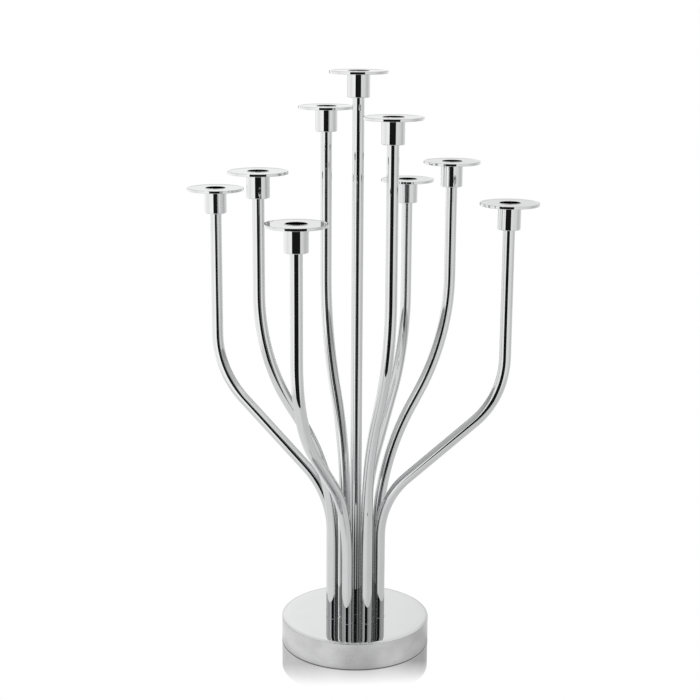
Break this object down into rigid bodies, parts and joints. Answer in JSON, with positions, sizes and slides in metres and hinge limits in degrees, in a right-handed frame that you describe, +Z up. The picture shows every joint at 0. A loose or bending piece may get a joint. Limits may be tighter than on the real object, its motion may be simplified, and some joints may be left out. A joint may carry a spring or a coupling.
{
  "type": "menorah",
  "caption": "Free-standing polished metal menorah: a round foot, a straight centre stem and a ring of bent tubes at different heights, each with a candle cup and a loose drip pan.",
  "frame": {"origin": "on the table, under the centre of the round foot", "axes": "+Z up along the servant stem; -Y is the front, +X is the menorah's right as seen from the front"},
  "size_m": [0.3548, 0.3908, 0.6185],
  "materials": {
    "polished_foot": "mirror polished and plated, very slight waviness on the turned side",
    "polished_tube": "mirror polished and plated drawn tube",
    "polished_cup": "mirror polished and plated, turned",
    "polished_pan": "mirror polished and plated, turned face",
    "plain_steel": "turned, uncoated",
    "zinc_steel": "zinc plated",
    "felt": "pressed wool felt"
  },
  "bodies": {
    "stand": {"base": "polished_foot", "base_pad": "felt", "foot_screws": "zinc_steel", "foot_washers": "zinc_steel", "cup_screws": "zinc_steel", "servant_stem": "polished_tube", "light_1_arm": "polished_tube", "light_2_arm": "polished_tube", "light_3_arm": "polished_tube", "light_4_arm": "polished_tube", "light_5_arm": "polished_tube", "light_6_arm": "polished_tube", "light_7_arm": "polished_tube", "light_8_arm": "polished_tube", "servant_foot_slug": "plain_steel", "servant_top_slug": "plain_steel", "servant_cup": "polished_cup", "light_1_foot_slug": "plain_steel", "light_1_top_slug": "plain_steel", "light_1_cup": "polished_cup", "light_2_foot_slug": "plain_steel", "light_2_top_slug": "plain_steel", "light_2_cup": "polished_cup", "light_3_foot_slug": "plain_steel", "light_3_top_slug": "plain_steel", "light_3_cup": "polished_cup", "light_4_foot_slug": "plain_steel", "light_4_top_slug": "plain_steel", "light_4_cup": "polished_cup", "light_5_foot_slug": "plain_steel", "light_5_top_slug": "plain_steel", "light_5_cup": "polished_cup", "light_6_foot_slug": "plain_steel", "light_6_top_slug": "plain_steel", "light_6_cup": "polished_cup", "light_7_foot_slug": "plain_steel", "light_7_top_slug": "plain_steel", "light_7_cup": "polished_cup", "light_8_foot_slug": "plain_steel", "light_8_top_slug": "plain_steel", "light_8_cup": "polished_cup"},
    "servant_pan": {"servant_pan": "polished_pan"},
    "light_1_pan": {"light_1_pan": "polished_pan"},
    "light_2_pan": {"light_2_pan": "polished_pan"},
    "light_3_pan": {"light_3_pan": "polished_pan"},
    "light_4_pan": {"light_4_pan": "polished_pan"},
    "light_5_pan": {"light_5_pan": "polished_pan"},
    "light_6_pan": {"light_6_pan": "polished_pan"},
    "light_7_pan": {"light_7_pan": "polished_pan"},
    "light_8_pan": {"light_8_pan": "polished_pan"}
  },
  "joints": [
    {"name": "servant_pan_lift", "type": "slide", "parent": "stand", "child": "servant_pan", "axis": [0, 0, 1], "range_m": [0, 0.05]},
    {"name": "light_1_pan_lift", "type": "slide", "parent": "stand", "child": "light_1_pan", "axis": [0, 0, 1], "range_m": [0, 0.05]},
    {"name": "light_2_pan_lift", "type": "slide", "parent": "stand", "child": "light_2_pan", "axis": [0, 0, 1], "range_m": [0, 0.05]},
    {"name": "light_3_pan_lift", "type": "slide", "parent": "stand", "child": "light_3_pan", "axis": [0, 0, 1], "range_m": [0, 0.05]},
    {"name": "light_4_pan_lift", "type": "slide", "parent": "stand", "child": "light_4_pan", "axis": [0, 0, 1], "range_m": [0, 0.05]},
    {"name": "light_5_pan_lift", "type": "slide", "parent": "stand", "child": "light_5_pan", "axis": [0, 0, 1], "range_m": [0, 0.05]},
    {"name": "light_6_pan_lift", "type": "slide", "parent": "stand", "child": "light_6_pan", "axis": [0, 0, 1], "range_m": [0, 0.05]},
    {"name": "light_7_pan_lift", "type": "slide", "parent": "stand", "child": "light_7_pan", "axis": [0, 0, 1], "range_m": [0, 0.05]},
    {"name": "light_8_pan_lift", "type": "slide", "parent": "stand", "child": "light_8_pan", "axis": [0, 0, 1], "range_m": [0, 0.05]}
  ]
}
